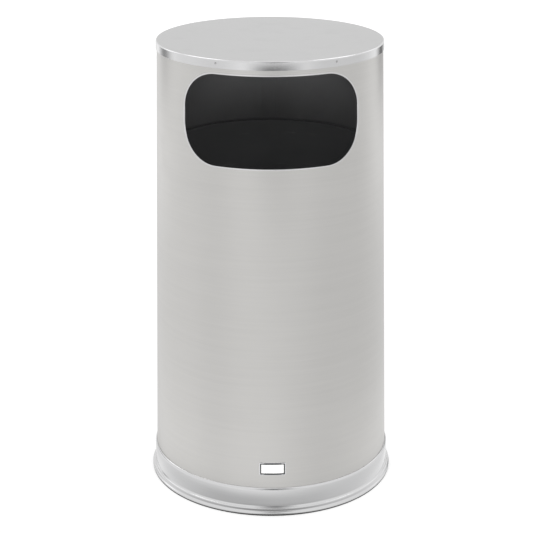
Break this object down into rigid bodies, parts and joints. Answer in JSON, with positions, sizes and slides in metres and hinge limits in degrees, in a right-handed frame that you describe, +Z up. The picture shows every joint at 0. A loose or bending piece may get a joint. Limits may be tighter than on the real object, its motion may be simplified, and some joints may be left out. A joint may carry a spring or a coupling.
{
  "type": "round waste receptacle",
  "caption": "Round upright steel waste bin with a flat lift-off lid, a wide side opening, a flared base band and a removable moulded liner.",
  "frame": {"origin": "on the floor, at the centre of the base", "axes": "+Z up, with the side opening towards -Y"},
  "size_m": [0.3972, 0.3972, 0.711],
  "materials": {
    "brushed_sheet": "satin, with a fine grain running round the body and across the lid",
    "polished_sheet": "bright polished",
    "plain_sheet": "dark paint",
    "black_paint": "dark paint",
    "rivet": "plain",
    "soft_ring": "matt",
    "liner_plastic": "fine moulded grain",
    "plate_metal": "satin rim round a plain pale field with a dark edge, with nothing on it"
  },
  "bodies": {
    "can": {"body_shell": "brushed_sheet", "seam_strip": "plain_sheet", "mouth_ring": "plain_sheet", "opening_edging": "polished_sheet", "base_band": "polished_sheet", "base_pan": "black_paint", "base_rivets": "rivet", "floor_ring": "soft_ring", "blank_plate": "plate_metal"},
    "lid": {"lid_cap": "brushed_sheet", "lid_channel": "plain_sheet"},
    "liner": {"liner_tub": "liner_plastic"}
  },
  "joints": [
    {"name": "lid_lift", "type": "slide", "parent": "can", "child": "lid", "axis": [0, 0, 1], "range_m": [0, 0.8]},
    {"name": "liner_lift", "type": "slide", "parent": "can", "child": "liner", "axis": [0, 0, 1], "range_m": [0, 0.72]}
  ],
  "couplings": [
    {"joint": "liner_lift", "follows": "lid_lift", "ratio": 0.9}
  ]
}
